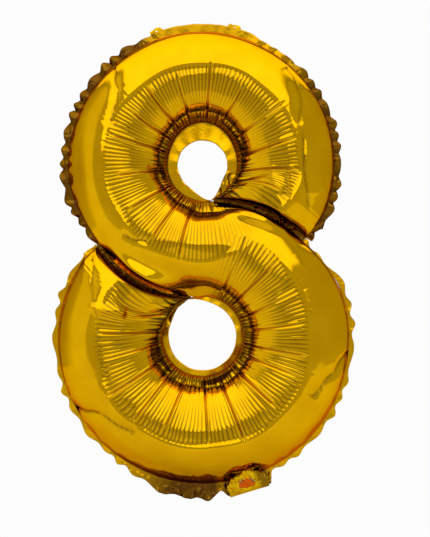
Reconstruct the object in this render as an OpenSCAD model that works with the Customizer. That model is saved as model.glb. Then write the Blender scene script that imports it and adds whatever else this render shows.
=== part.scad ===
// Foil number balloon "8": an S-shaped filled tube between two hole seams.
// Millimetres, +Z up, the front faces -Y, origin at the centre of the whole object.

/* [Number shape] */
// Radius of the seal around the upper hole
upper_hole_r = 64; // [52:1:80]
// Radius of the seal around the lower hole
lower_hole_r = 72; // [58:1:90]
// Width of the filled tube around the upper hole
upper_tube_w = 176; // [146:1:214]
// Width of the filled tube where it crosses between the holes
middle_tube_w = 172; // [142:1:208]
// Width of the filled tube around the lower hole
lower_tube_w = 192; // [160:1:232]
// Depth of the filled tube, as a share of its width
fullness = 0.88; // [0.7:0.02:1]

/* [Hook ends] */
// Length over which each end of the tube rounds down to its dividing seal
hook_round = 70; // [40:5:110]
// Width of the dividing seal between a hook end and the tube it lies against
divider_w = 4; // [3:0.5:12]

/* [Film and seals] */
// Wall of a panel, a thicker stand-in for the film
wall = 1; // [0.8:0.1:2]
// Thickness of a seal, both films fused together
seal_t = 0.8; // [0.6:0.1:1.6]
// Width of the seal around the outside
rim_seal_w = 10; // [6:1:18]
// Width of the flat margin inside the upper hole
upper_margin_w = 21; // [6:1:30]
// Width of the flat margin inside the lower hole
lower_margin_w = 13; // [6:1:30]
// Width of the outer seal at the foot, where the sheet was left wider
foot_seal_w = 31; // [20:1:45]
// Width along the rim of that wider foot
foot_span = 96; // [60:2:130]
// Distance from crest to crest of the puckered outer edge
pucker_pitch = 27; // [18:1:40]
// Depth of the puckers
pucker_depth = 3; // [0:0.5:5]

/* [Hanging tabs] */
// Width of a hanging tab
tab_w = 24; // [18:1:34]
// Length of a hanging tab from its fold
tab_len = 20; // [18:1:34]
// Diameter of the ribbon hole in a tab
tab_hole_d = 5; // [3:0.5:8]
// How far a tab leans back from upright, in degrees
tab_lean = 55; // [0:5:75]
// Place of the left tab around the upper hole, in degrees from +X
left_tab_at = 109; // [98:1:125]
// Place of the right tab around the upper hole, in degrees from +X
right_tab_at = 77; // [60:1:84]

/* [Filling tail] */
// Place of the filling tail around the lower hole, in degrees from +X
tail_at = -73; // [-75:1:-60]
// How far the neck stands out of the rim seal before the tail's fold
neck_len = 16; // [8:1:24]
// Width of the neck
neck_w = 84; // [64:2:110]
// Width of the tail
tail_w = 74; // [56:2:96]
// Length of the tail from its fold to its round tip
tail_len = 74; // [60:2:110]
// How far the tail is folded forward from hanging straight, in degrees
tail_lean = 126; // [60:2:128]
// Width of the flat valve tube
valve_w = 34; // [24:1:44]
// How far the valve tube reaches in past the rim
valve_depth = 90; // [50:5:130]
// Thickness of one film of the valve or ply of the tail
ply_t = 0.4; // [0.3:0.1:0.8]
// Diameter of the window through which the valve is filled
window_d = 30; // [20:1:34]
// Diameter of the heat-proof ink patch on the valve
ink_d = 17; // [10:1:20]

/* [Hidden] */
foil = "#c9960c";
seal_foil = "#a87408";
clear_film = "#d8d8cc";
play = 0.3;                                   // clearance between pieces that move or slide
fold_gap = 0.5;                               // from a seal's edge to the fold line beside it
fold_r = 0.8;                                 // roll of film along a fold
ink_t = 0.3;
divider_inset = 14;                           // from the line through both holes to a dividing seal
across = 12;                                  // facets across half the tube
round_steps = 7;                              // stations over a hook end
run_steps = 104;                              // stations along the rest of the tube
blend = 100;                                  // degrees over which a hook's slant fades out

// ---- Place of the two holes ----
upper_out_r = upper_hole_r + upper_tube_w;
lower_out_r = lower_hole_r + lower_tube_w;
hole_pitch = upper_hole_r + middle_tube_w + lower_hole_r;
tab_fold_r = upper_out_r + rim_seal_w + fold_gap + fold_r;
tail_fold_r = lower_out_r + rim_seal_w + neck_len + fold_gap + fold_r;

// height of a leaned tab's highest point over the upper hole's centre
function tab_top(at) =
    let (middle = tab_fold_r + (tab_len - tab_w / 2) * cos(tab_lean),
         rise = sqrt(pow(cos(at), 2) + pow(sin(at) * cos(tab_lean), 2)) * tab_w / 2)
    middle * sin(at) + rise + sin(tab_lean) * sin(at) * seal_t / 2;

over_hole = max(upper_out_r + rim_seal_w, tab_top(left_tab_at), tab_top(right_tab_at));
under_hole = lower_out_r + foot_seal_w;
upper_z = (hole_pitch + under_hole - over_hole) / 2;
lower_z = upper_z - hole_pitch;

// ---- The tube's plan: angles run round each hole from +X towards +Z ----
function ease(a, b, x) = let (s = min(1, max(0, (x - a) / (b - a)))) s * s * (3 - 2 * s);
function upper_w(at) = upper_tube_w + (middle_tube_w - upper_tube_w) * ease(190, 265, at);
function lower_w(at) = lower_tube_w + (middle_tube_w - lower_tube_w) * ease(10, 85, at);

// where a hook, at a share v across the tube, meets the seal beside the other lobe
function upper_end(v, at = -45, tries = 8) = tries == 0 ? at :
    let (r = upper_hole_r + upper_tube_w * (1 - v),
         toward = atan2(hole_pitch + r * sin(at), r * cos(at)),
         reach = lower_hole_r + lower_w(toward) + divider_w,
         s = (reach * reach - r * r - hole_pitch * hole_pitch) / (2 * r * hole_pitch))
    upper_end(v, asin(max(-1, min(1, s))), tries - 1);
function lower_end(v, at = -225, tries = 8) = tries == 0 ? at :
    let (r = lower_hole_r + lower_tube_w * v,
         toward = 360 + atan2(r * sin(at) - hole_pitch, r * cos(at)),
         reach = upper_hole_r + upper_w(toward) + divider_w,
         s = (r * r + hole_pitch * hole_pitch - reach * reach) / (2 * r * hole_pitch))
    lower_end(v, -180 - asin(max(-1, min(1, s))), tries - 1);

upper_start = upper_end(0.5);
lower_stop = lower_end(0.5);
upper_mid_r = upper_hole_r + upper_tube_w / 2;
lower_mid_r = lower_hole_r + lower_tube_w / 2;
upper_run = upper_mid_r * (270 - upper_start) * PI / 180;
lower_run = lower_mid_r * (90 - lower_stop) * PI / 180;
run = upper_run + lower_run;

function upper_point(at, v) =
    let (turn = at + (upper_end(v) - upper_start) * (1 - ease(upper_start, upper_start + blend, at)),
         r = upper_hole_r + upper_w(turn) * (1 - v))
    [r * cos(turn), upper_z + r * sin(turn)];
function lower_point(at, v) =
    let (turn = at + (lower_end(v) - lower_stop) * ease(-lower_stop - blend, -lower_stop, -at),
         r = lower_hole_r + lower_w(turn) * v)
    [r * cos(turn), lower_z + r * sin(turn)];
function tube_point(s, v) = s < upper_run
    ? upper_point(upper_start + s / upper_mid_r * 180 / PI, v)
    : lower_point(90 - (s - upper_run) / lower_mid_r * 180 / PI, v);
function tube_w(s) = s < upper_run
    ? upper_w(upper_start + s / upper_mid_r * 180 / PI)
    : lower_w(90 - (s - upper_run) / lower_mid_r * 180 / PI);
function end_rise(s) = let (d = min(s, run - s) / hook_round) d >= 1 ? 1 : sqrt(1 - pow(1 - d, 2));

// ---- A panel: one half of the filled tube, swept from hook end to hook end ----
hook_stations = [for (i = [0:round_steps - 1]) hook_round * (1 - cos(90 * i / round_steps))];
stations = concat(hook_stations,
    [for (i = [0:run_steps]) hook_round + (run - 2 * hook_round) * i / run_steps],
    [for (i = [round_steps - 1:-1:0]) run - hook_stations[i]]);

function panel_ring(s, side) =
    let (w = tube_w(s), rise = fullness * w / 2 * end_rise(s))
    concat(
        [for (j = [0:across])
            let (a = 180 * j / across, p = tube_point(s, 0.5 - 0.5 * cos(a)))
            [p.x, side * (seal_t / 2 + (rise + wall) * sin(a)), p.y]],
        [for (j = [across:-1:0])
            let (a = 180 * j / across, p = tube_point(s, 0.5 - (0.5 - wall / w) * cos(a)))
            [p.x, side * (seal_t / 2 + rise * sin(a)), p.y]]);

module panel(side) {
    ring = 2 * across + 2;
    last = len(stations) - 1;
    points = [for (s = stations) each panel_ring(s, side)];
    sides = [for (i = [0:last - 1], j = [0:ring - 1])
        let (a = i * ring + j, b = i * ring + (j + 1) % ring)
        each [[a, b, b + ring], [a, b + ring, a + ring]]];
    cap = [for (j = [0:across - 1]) let (k = ring - 1 - j) each [[j, k, k - 1], [j, k - 1, j + 1]]];
    far_cap = [for (f = cap) [f[0], f[2], f[1]] + last * ring * [1, 1, 1]];
    faces = concat(sides, cap, far_cap);
    polyhedron(points, side > 0 ? [for (f = faces) [f[0], f[2], f[1]]] : faces, convexity = 8);
}

module front_panel() { color(foil) panel(-1); }
module back_panel() { color(foil) panel(1); }

// ---- Seals: flat strips between the two panels' rims ----
module flat(t = seal_t) { rotate([90, 0, 0]) linear_extrude(t, center = true) children(); }

function puckers(r) = 4 * round(2 * PI * r / pucker_pitch / 4);
function edge_w(r, at) = rim_seal_w - pucker_depth * (1 - cos(puckers(r) * at)) / 2;
function foot_w(at) = (foot_seal_w - rim_seal_w)
    * ease(-1, 0, -abs(at + 90) * PI / 180 * lower_out_r / (foot_span / 2));

// one lobe out to its rim and so much further, plain or with the puckered edge
module upper_disc(extra, puckered = false) {
    translate([0, upper_z])
    polygon([for (at = [-90:1:269])
        let (r = upper_hole_r + upper_w(at) + extra + (puckered ? edge_w(upper_out_r, at) : 0))
        [r * cos(at), r * sin(at)]]);
}

module lower_disc(extra, puckered = false) {
    translate([0, lower_z])
    polygon([for (at = [-269:1:90])
        let (r = lower_hole_r + lower_w(at) + extra + (puckered ? edge_w(lower_out_r, at) + foot_w(at) : 0))
        [r * cos(at), r * sin(at)]]);
}

// flat ground that ends at a fold line, so that what folds there starts at its edge
module landing(w, r, length) {
    translate([r - wall, -w / 2]) square([wall + length, w]);
}

module rim_seal_plan() {
    difference() {
        union() {
            upper_disc(0, true);
            lower_disc(0, true);
            for (at = [left_tab_at, right_tab_at])
                translate([0, upper_z]) rotate(at) landing(tab_w, upper_out_r, rim_seal_w);
            translate([0, lower_z]) rotate(tail_at) landing(neck_w, lower_out_r, rim_seal_w + neck_len);
        }
        upper_disc(-wall);
        lower_disc(-wall);
        translate([0, lower_z]) rotate(tail_at)
            translate([lower_out_r - rim_seal_w, -valve_w / 2 - play])
            square([2 * rim_seal_w + neck_len + 1, valve_w + 2 * play]);
    }
}

module perimeter_seam() { color(seal_foil) flat() rim_seal_plan(); }

module hole_seam(z, r, margin) {
    translate([0, 0, z]) rotate([90, 0, 0])
    difference() {
        cylinder(h = seal_t, r = r + wall, center = true, $fn = 120);
        cylinder(h = seal_t + 2, r = r - margin, center = true, $fn = 120);
    }
}

module upper_hole_seam() { color(seal_foil) hole_seam(upper_z, upper_hole_r, upper_margin_w); }
module lower_hole_seam() { color(seal_foil) hole_seam(lower_z, lower_hole_r, lower_margin_w); }

// the side of a hole's centre on which its hook end lies, short of the line through both holes
module hook_side(side) {
    translate([side * (divider_inset + hole_pitch), 0]) square([2 * hole_pitch, 4 * hole_pitch], center = true);
}

// each dividing seal reaches under the rims of both the tubes that it joins
module upper_divider_seam() {
    color(seal_foil) flat()
    difference() {
        intersection() {
            upper_disc(-wall);
            lower_disc(divider_w + wall);
            hook_side(1);
        }
        lower_disc(-wall);
        translate([0, upper_z]) circle(r = upper_hole_r + wall, $fn = 120);
    }
}

module lower_divider_seam() {
    color(seal_foil) flat()
    difference() {
        intersection() {
            lower_disc(-wall);
            upper_disc(divider_w + wall);
            hook_side(-1);
        }
        upper_disc(-wall);
        translate([0, lower_z]) circle(r = lower_hole_r + wall, $fn = 120);
    }
}

// ---- Local frames: x out of the rim, z along it, y as the whole object's ----
module on_rim(z, at, r) { translate([r * cos(at), 0, z + r * sin(at)]) rotate([0, -at, 0]) children(); }

module tongue_plan(w, length, from) {
    translate([from, -w / 2]) square([length - w / 2 - from, w]);
    translate([length - w / 2, 0])
    intersection() {
        circle(d = w, $fn = 96);
        translate([0, -w]) square([w, 2 * w]);
    }
}

// ---- Hanging tabs ----
module hanging_tab(at) {
    on_rim(upper_z, at, tab_fold_r) rotate([0, 0, tab_lean]) {
        difference() {
            flat() tongue_plan(tab_w, tab_len, 0);
            translate([tab_len - tab_w / 2, 0, 0]) rotate([90, 0, 0])
                cylinder(h = seal_t + 2, d = tab_hole_d, center = true, $fn = 48);
        }
        cylinder(h = tab_w, r = fold_r, center = true, $fn = 24);
    }
}

module left_hanging_tab() { color(foil) hanging_tab(left_tab_at); }
module right_hanging_tab() { color(foil) hanging_tab(right_tab_at); }

// ---- Valve tube inside the neck ----
module valve_film(side) {
    on_rim(lower_z, tail_at, 0)
    translate([lower_out_r - valve_depth, side * ply_t / 2 - ply_t / 2, -valve_w / 2])
        cube([valve_depth + rim_seal_w + neck_len, ply_t, valve_w]);
}

module valve_front_film() { color(clear_film, 0.5) valve_film(-1); }
module valve_back_film() { color(clear_film, 0.5) valve_film(1); }

// ---- Filling tail: two plies, the valve's mouth between them and a seal down each side ----
// layers are counted from the ply that faces the front when the tail hangs straight
module on_tail(layer) {
    on_rim(lower_z, tail_at, tail_fold_r) rotate([0, 0, -tail_lean])
    translate([0, (layer + 0.5) * ply_t, 0]) children();
}

window_x = tail_len - tail_w / 2;

module tail_front_ply() {
    color(foil) on_tail(-2) flat(ply_t) tongue_plan(tail_w, tail_len, fold_r + play);
}

module tail_back_ply() {
    color(foil) {
        on_tail(1)
        difference() {
            flat(ply_t) tongue_plan(tail_w, tail_len, fold_r / 2);
            translate([window_x, 0, 0]) rotate([90, 0, 0])
                cylinder(h = ply_t + 2, d = window_d, center = true, $fn = 72);
        }
        on_tail(-0.5) cylinder(h = tail_w, r = fold_r, center = true, $fn = 24);
    }
}

module tail_side_seals() {
    color(seal_foil) on_tail(-0.5) flat(2 * ply_t)
        difference() {
            tongue_plan(tail_w, tail_len, fold_r + play);
            translate([0, -valve_w / 2 - play]) square([tail_len + 1, valve_w + 2 * play]);
        }
}

module mouth_film(layer) {
    on_tail(layer) flat(ply_t)
    intersection() {
        tongue_plan(tail_w, tail_len - 2, fold_r + play);
        translate([0, -valve_w / 2]) square([tail_len, valve_w]);
    }
}

module mouth_front_film() { color(clear_film, 0.5) mouth_film(-1); }
module mouth_back_film() { color(clear_film, 0.5) mouth_film(0); }

module valve_ink_patch() {
    color("#c8380a") on_tail(1) translate([window_x, (ink_t - ply_t) / 2, 0])
    rotate([90, 0, 0]) cylinder(h = ink_t, d = ink_d, center = true, $fn = 48);
}

front_panel();
back_panel();
perimeter_seam();
upper_hole_seam();
lower_hole_seam();
upper_divider_seam();
lower_divider_seam();
valve_front_film();
valve_back_film();
tail_front_ply();
tail_back_ply();
tail_side_seals();
mouth_front_film();
mouth_back_film();
valve_ink_patch();
left_hanging_tab();
right_hanging_tab();
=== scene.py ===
import bpy, bmesh, math
import numpy as np
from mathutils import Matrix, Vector, noise


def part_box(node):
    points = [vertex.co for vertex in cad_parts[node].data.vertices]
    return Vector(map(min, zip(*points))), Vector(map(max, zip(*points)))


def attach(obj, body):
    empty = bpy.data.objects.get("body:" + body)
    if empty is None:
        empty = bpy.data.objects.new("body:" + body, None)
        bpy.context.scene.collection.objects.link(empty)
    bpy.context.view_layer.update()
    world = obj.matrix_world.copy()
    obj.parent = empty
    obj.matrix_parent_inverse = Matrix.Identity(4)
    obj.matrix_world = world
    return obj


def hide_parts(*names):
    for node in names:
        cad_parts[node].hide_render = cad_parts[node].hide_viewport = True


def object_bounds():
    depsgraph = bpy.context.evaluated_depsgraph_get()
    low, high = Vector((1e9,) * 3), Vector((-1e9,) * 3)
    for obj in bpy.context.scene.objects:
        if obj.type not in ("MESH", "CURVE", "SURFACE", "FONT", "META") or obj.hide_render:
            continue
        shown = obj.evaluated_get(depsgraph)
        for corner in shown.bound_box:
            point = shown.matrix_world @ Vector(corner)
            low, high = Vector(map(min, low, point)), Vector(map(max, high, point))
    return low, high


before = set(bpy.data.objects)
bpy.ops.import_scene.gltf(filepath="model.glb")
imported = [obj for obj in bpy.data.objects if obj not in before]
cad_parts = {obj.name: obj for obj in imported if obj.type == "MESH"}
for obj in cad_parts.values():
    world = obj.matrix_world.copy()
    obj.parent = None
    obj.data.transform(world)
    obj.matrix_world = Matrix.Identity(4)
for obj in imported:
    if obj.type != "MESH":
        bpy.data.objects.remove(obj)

mm = 0.001
toFront, toBack = (0, -1, 0), (0, 1, 0)
cadLow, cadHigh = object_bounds()
scene = bpy.context.scene


def ease(start, stop, x):  # 0 before start, 1 after stop and smooth between
    share = np.clip((x - start) / (stop - start), 0, 1)
    return share * share * (3 - 2 * share)


def addNode(tree, kind, inputs=None, **settings):  # a shader node with its settings and fixed inputs
    node = tree.nodes.new("ShaderNode" + kind)
    for name, value in settings.items():
        setattr(node, name, value)
    for name, value in (inputs or {}).items():
        node.inputs[name].default_value = value
    return node


def joinNodes(tree, *links):  # each link says a node, its output, the next node and its input
    for giver, output, taker, into in links:
        tree.links.new(giver.outputs[output], taker.inputs[into])


def grey(level):
    return (level, level, level, 1)


# camera: metres seen from top to bottom, and how far the aim is off the middle
view = {"lens": 100.0, "sensor": 36.0, "tall": 0.9666, "right": 0.0225, "down": 0.0126}


def makeCamera():
    camera = bpy.data.objects.new("camera", bpy.data.cameras.new("camera"))
    scene.collection.objects.link(camera)
    camera.data.lens = view["lens"]
    camera.data.sensor_width = view["sensor"]
    camera.location = (view["right"], -view["tall"] * view["lens"] / view["sensor"], -view["down"])
    camera.rotation_euler = (math.radians(90), 0, 0)
    scene.camera = camera


# an even room with one wide soft box overhead, framed in black, a soft light on the left and shade behind
studio = {
    "room": 0.47, "floor": 0.54, "boxLight": 1.42, "frame": 0.03, "behind": 0.06, "backdrop": 0.975,
    "boxFront": 0.12, "boxSide": 0.60, "boxBack": 0.70, "frameWidth": 0.030, "frameBack": 1.6,
    "soft": 0.012, "sideSoft": 9, "backSoft": 2,  # the side and back edges are that many times softer
    "boxBend": 1.1, "bendFrom": 0.26,  # the box's front edge curves up towards its sides
    "leftLight": 0.28, "leftFrom": 0.62, "leftTo": 0.78, "leftBack": 0.5,
    "horizon": -0.4, "behindFrom": 0.74, "behindTo": 0.92,
    "floorDrop": 0.050, "floorSize": 2.6, "floorShade": 0.72,
}


def showPlain(tree, lit, plain, output):  # the camera sees the plain one, and the foil mirrors the lit one
    seen = addNode(tree, "MixShader")
    joinNodes(tree, (addNode(tree, "LightPath"), "Is Camera Ray", seen, "Fac"), (lit, 0, seen, 1),
              (plain, 0, seen, 2), (seen, 0, addNode(tree, output), "Surface"))


def makeStudio():
    world = bpy.data.worlds.new("studio")
    scene.world = world
    world.use_nodes = True
    tree = world.node_tree
    tree.nodes.clear()
    parts = addNode(tree, "SeparateXYZ")
    joinNodes(tree, (addNode(tree, "TexCoord"), "Generated", parts, 0))

    def rise(value, start, stop):  # 0 before start, 1 after stop
        step = addNode(tree, "MapRange", {"From Min": start, "From Max": stop}, interpolation_type="SMOOTHSTEP")
        tree.links.new(parts.outputs[value] if isinstance(value, str) else value, step.inputs["Value"])
        return step.outputs["Result"]

    def sums(operation, first, second=None, third=None):
        node = addNode(tree, "Math", operation=operation)
        for socket, value in zip(node.inputs, (first, second, third)):
            if isinstance(value, bpy.types.NodeSocket):
                tree.links.new(value, socket)
            elif value is not None:
                socket.default_value = value
        return node.outputs[0]

    def fall(value, start, stop):  # 1 before start, 0 after stop
        return sums("SUBTRACT", 1.0, rise(value, start, stop))

    def blendTo(start, stop, share):
        return sums("ADD", sums("MULTIPLY", start, sums("SUBTRACT", 1.0, share)), sums("MULTIPLY", stop, share))

    sideways = sums("MAXIMUM", sums("SUBTRACT", sums("ABSOLUTE", parts.outputs["X"]), studio["bendFrom"]), 0.0)
    height = sums("MULTIPLY_ADD", sideways, -studio["boxBend"], parts.outputs["Z"])

    def boxMask(grow):
        soft, sideSoft = studio["soft"], studio["sideSoft"] * studio["soft"]
        front, side = studio["boxFront"] - grow, studio["boxSide"] + grow
        back = studio["boxBack"] + grow * studio["frameBack"]
        across = sums("MULTIPLY", rise(height, front, front + soft), fall("X", side, side + sideSoft))
        behind = fall("Y", back, back + soft * studio["backSoft"])
        return sums("MULTIPLY", across, sums("MULTIPLY", rise("X", -side - sideSoft, -side), behind))

    room = blendTo(studio["floor"], studio["room"], rise("Z", studio["horizon"], 0.0))
    left = sums("MULTIPLY", fall("X", -studio["leftTo"], -studio["leftFrom"]), fall("Y", 0.0, studio["leftBack"]))
    room = sums("MULTIPLY_ADD", left, studio["leftLight"], room)
    room = blendTo(room, studio["behind"], rise("Y", studio["behindFrom"], studio["behindTo"]))
    room = blendTo(room, studio["frame"], boxMask(studio["frameWidth"]))
    room = blendTo(room, studio["boxLight"], boxMask(0.0))
    lit = addNode(tree, "Background")
    tree.links.new(room, lit.inputs["Color"])
    showPlain(tree, lit, addNode(tree, "Background", {"Color": grey(studio["backdrop"])}), "OutputWorld")
    scene.view_settings.view_transform = "Standard"


def makeFloor():
    bm = bmesh.new()
    bmesh.ops.create_grid(bm, x_segments=1, y_segments=1, size=studio["floorSize"] / 2)
    mesh = bpy.data.meshes.new("floor")
    bm.to_mesh(mesh)
    bm.free()
    floor = bpy.data.objects.new("floor", mesh)
    floor.location.z = cadLow.z - studio["floorDrop"]
    scene.collection.objects.link(floor)
    material = bpy.data.materials.new("paleFloor")
    material.use_nodes = True
    tree = material.node_tree
    tree.nodes.clear()
    matt = addNode(tree, "BsdfDiffuse", {"Color": grey(studio["floorShade"])})
    showPlain(tree, matt, addNode(tree, "Emission", {"Color": grey(studio["backdrop"])}), "OutputMaterial")
    mesh.materials.append(material)


makeCamera()
makeStudio()
makeFloor()
print("camera and studio ready")


# finishes
gold = {"Metallic": 1, "Specular Tint": (0.85, 0.50, 0.06, 1)}
# the second, darker colour of each gold foil is painted shade, mixed into its tint by an amount stored on every point
finishes = {
    "goldFoil": {"tint": (0.89, 0.49, 0.002, 1), "foldTint": (0.075, 0.044, 0.008, 1), "size": 70.0, "rough": 0.08,
                 "spread": 0.06, "bump": 0.08, "depth": 0.0006, "shader": gold},
    "sealFoil": {"tint": (0.87, 0.47, 0.002, 1), "foldTint": (0.120, 0.047, 0.006, 1), "size": 130.0, "rough": 0.15,
                 "spread": 0.12, "bump": 0.26, "depth": 0.0006, "shader": gold},
    "crumpledFoil": {"tint": (1.0, 0.66, 0.006, 1), "foldTint": (0.16, 0.065, 0.008, 1), "size": 190.0, "rough": 0.18,
                     "spread": 0.10, "bump": 0.35, "depth": 0.0009, "shader": gold},
    "valveFilm": {"size": 220, "rough": 0.12, "spread": 0.2, "bump": 0.5, "depth": 0.0008,
                  "shader": {"Base Color": (0.80, 0.66, 0.30, 1), "Alpha": 0.18}},
    "valveInk": {"blotch": 320, "dark": (0.70, 0.085, 0.003, 1), "light": (0.94, 0.20, 0.006, 1),
                 "roughFrom": 0.5, "roughTo": 0.8, "bump": 0.4, "depth": 0.0005, "shader": {"Specular IOR Level": 0.03}},
}


def makeCrinkleGroup():
    group = bpy.data.node_groups.new("filmCrinkle", "ShaderNodeTree")
    sockets = (("Size", "Float", "INPUT", 150.0), ("Rough", "Float", "INPUT", 0.12),
               ("Rough Spread", "Float", "INPUT", 0.08), ("Tint", "Color", "INPUT", None),
               ("Painted Shade Tint", "Color", "INPUT", None), ("Painted Shade", "Float", "INPUT", 0.0),
               ("Height", "Float", "OUTPUT", None), ("Roughness", "Float", "OUTPUT", None),
               ("Colour", "Color", "OUTPUT", None))
    for name, kind, way, value in sockets:
        socket = group.interface.new_socket(name=name, in_out=way, socket_type="NodeSocket" + kind)
        if value is not None:
            socket.default_value = value
    given, out = group.nodes.new("NodeGroupInput"), group.nodes.new("NodeGroupOutput")
    where = addNode(group, "TexCoord")
    folds = addNode(group, "TexNoise", {"Detail": 3, "Distortion": 0.6})  # soft buckles of the film
    cells = addNode(group, "TexVoronoi", feature="DISTANCE_TO_EDGE")  # sharp little facets
    wider = addNode(group, "Math", {1: 0.45}, operation="MULTIPLY")
    edge = addNode(group, "MapRange", {"From Max": 0.12, "To Min": -0.10, "To Max": 0})
    total = addNode(group, "Math", operation="ADD")
    haze = addNode(group, "TexNoise", {"Scale": 22, "Detail": 5})  # handling marks that dull the mirror
    dull = addNode(group, "MapRange", {"From Min": 0.35, "From Max": 0.75})
    spread = addNode(group, "Math", operation="MULTIPLY_ADD")
    deep = addNode(group, "Mix", data_type="RGBA", blend_type="MULTIPLY")  # lacquer is a little thicker in places
    deep.inputs[7].default_value = (0.90, 0.84, 0.6, 1)
    shaded = addNode(group, "Mix", data_type="RGBA")  # painted shade: the colour goes to the dark tint as far as the shade amount asks
    joinNodes(group, (where, "Object", folds, "Vector"), (where, "Object", cells, "Vector"),
              (where, "Object", haze, "Vector"), (given, "Size", folds, "Scale"), (given, "Size", wider, 0),
              (wider, 0, cells, "Scale"), (cells, "Distance", edge, "Value"), (folds, "Fac", total, 0),
              (edge, "Result", total, 1), (haze, "Fac", dull, "Value"), (dull, "Result", spread, 0),
              (given, "Rough Spread", spread, 1), (given, "Rough", spread, 2), (dull, "Result", deep, "Factor"),
              (given, "Tint", deep, 6), (given, "Painted Shade", shaded, "Factor"), (deep, 2, shaded, 6),
              (given, "Painted Shade Tint", shaded, 7), (total, 0, out, "Height"), (spread, 0, out, "Roughness"),
              (shaded, 2, out, "Colour"))
    return group


def startMaterial(name):  # a material whose fixed values are set, and the bump that feeds its normal
    made = finishes[name]
    material = bpy.data.materials.new(name)
    material.use_nodes = True
    tree = material.node_tree
    shader = tree.nodes["Principled BSDF"]
    for socket, value in made["shader"].items():
        shader.inputs[socket].default_value = value
    bump = addNode(tree, "Bump", {"Strength": made["bump"], "Distance": made["depth"]})
    joinNodes(tree, (bump, "Normal", shader, "Normal"))
    return made, material, tree, shader, bump


filmCrinkle = makeCrinkleGroup()


def filmMaterial(name):
    made, material, tree, shader, bump = startMaterial(name)
    crinkle = addNode(tree, "Group", node_tree=filmCrinkle)
    values = {"Size": made["size"], "Rough": made["rough"], "Rough Spread": made["spread"]}
    if "tint" in made:  # lacquered foil, with painted shade in its folds
        values.update({"Tint": made["tint"], "Painted Shade Tint": made["foldTint"]})
        fold = addNode(tree, "Attribute", attribute_name="fold")
        joinNodes(tree, (fold, "Fac", crinkle, "Painted Shade"), (crinkle, "Colour", shader, "Base Color"))
    for socket, value in values.items():
        crinkle.inputs[socket].default_value = value
    joinNodes(tree, (crinkle, "Height", bump, "Height"), (crinkle, "Roughness", shader, "Roughness"))
    return material


def inkMaterial():
    made, material, tree, shader, bump = startMaterial("valveInk")
    blotch = addNode(tree, "TexNoise", {"Scale": made["blotch"], "Detail": 4})
    colours = addNode(tree, "ValToRGB")
    for stop, position, colour in zip(colours.color_ramp.elements, (0.3, 0.7), (made["dark"], made["light"])):
        stop.position = position
        stop.color = colour
    matt = addNode(tree, "MapRange", {"To Min": made["roughFrom"], "To Max": made["roughTo"]})
    joinNodes(tree, (addNode(tree, "TexCoord"), "Object", blotch, "Vector"), (blotch, "Fac", colours, "Fac"),
              (blotch, "Fac", matt, "Value"), (blotch, "Fac", bump, "Height"),
              (colours, "Color", shader, "Base Color"), (matt, "Result", shader, "Roughness"))
    return material


goldFoil, sealFoil, crumpledFoil, valveFilm = (
    filmMaterial(name) for name in ("goldFoil", "sealFoil", "crumpledFoil", "valveFilm"))
valveInk = inkMaterial()
print("finishes ready")


# plan of the digit: a tube that runs round the upper hole, crosses, and runs round the lower one
digit = {
    "upperHole": 64 * mm, "lowerHole": 72 * mm,  # seal radius round each hole
    "upperTube": 176 * mm, "middleTube": 172 * mm, "lowerTube": 192 * mm,
    "upperTaper": (190, 265), "lowerTaper": (10, 85),  # turns over which the lobes' tubes meet the middle one
    "upperSlim": (200, 262), "lowerSlim": (15, 82),  # turns over which a slimmed tube comes back to full width
    "upperHook": -45.0, "lowerHook": -225.0,  # about where the hooks end
    "rimSeal": 10 * mm, "dividerWidth": 4 * mm, "blend": 100.0, "upperShare": 0.47,
    "cutShare": 0.70,  # filled width over the width as cut
}


def holeCentres():  # heights of the two hole centres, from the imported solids
    heights = []
    for node in ("upper_hole_seam", "lower_hole_seam"):
        low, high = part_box(node)
        heights.append((low[2] + high[2]) / 2)
    return heights


upperZ, lowerZ = holeCentres()


def lobes(share):  # widths of the two lobes, distance between the holes, and the tube's width at a turn
    up, mid, low = (digit[name] / share for name in ("upperTube", "middleTube", "lowerTube"))
    pitch = digit["upperHole"] + mid + digit["lowerHole"]

    def upperWidth(at):
        return up + (mid - up) * ease(*digit["upperTaper"], at)

    def lowerWidth(at):
        return low + (mid - low) * ease(*digit["lowerTaper"], at)
    return up, low, pitch, upperWidth, lowerWidth


def hookEnds(v, share):  # angles at which each hook meets the seal beside the other lobe
    up, low, pitch, upperWidth, lowerWidth = lobes(share)
    ends = []
    for isUpper, hole, width, start in ((True, digit["upperHole"], up * (1 - v), digit["upperHook"]),
                                        (False, digit["lowerHole"], low * v, digit["lowerHook"])):
        r, at = hole + width, np.full_like(v, start)
        for _ in range(8):  # each round comes closer
            turn = np.radians(at)
            if isUpper:
                toward = np.degrees(np.arctan2(pitch + r * np.sin(turn), r * np.cos(turn)))
                reach = digit["lowerHole"] + lowerWidth(toward) + digit["dividerWidth"]
                sine = (reach ** 2 - r ** 2 - pitch ** 2) / (2 * r * pitch)
                at = np.degrees(np.arcsin(np.clip(sine, -1, 1)))
            else:
                toward = 360 + np.degrees(np.arctan2(r * np.sin(turn) - pitch, r * np.cos(turn)))
                reach = digit["upperHole"] + upperWidth(toward) + digit["dividerWidth"]
                sine = (r ** 2 + pitch ** 2 - reach ** 2) / (2 * r * pitch)
                at = -180 - np.degrees(np.arcsin(np.clip(sine, -1, 1)))
        ends.append(at)
    return ends


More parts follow.
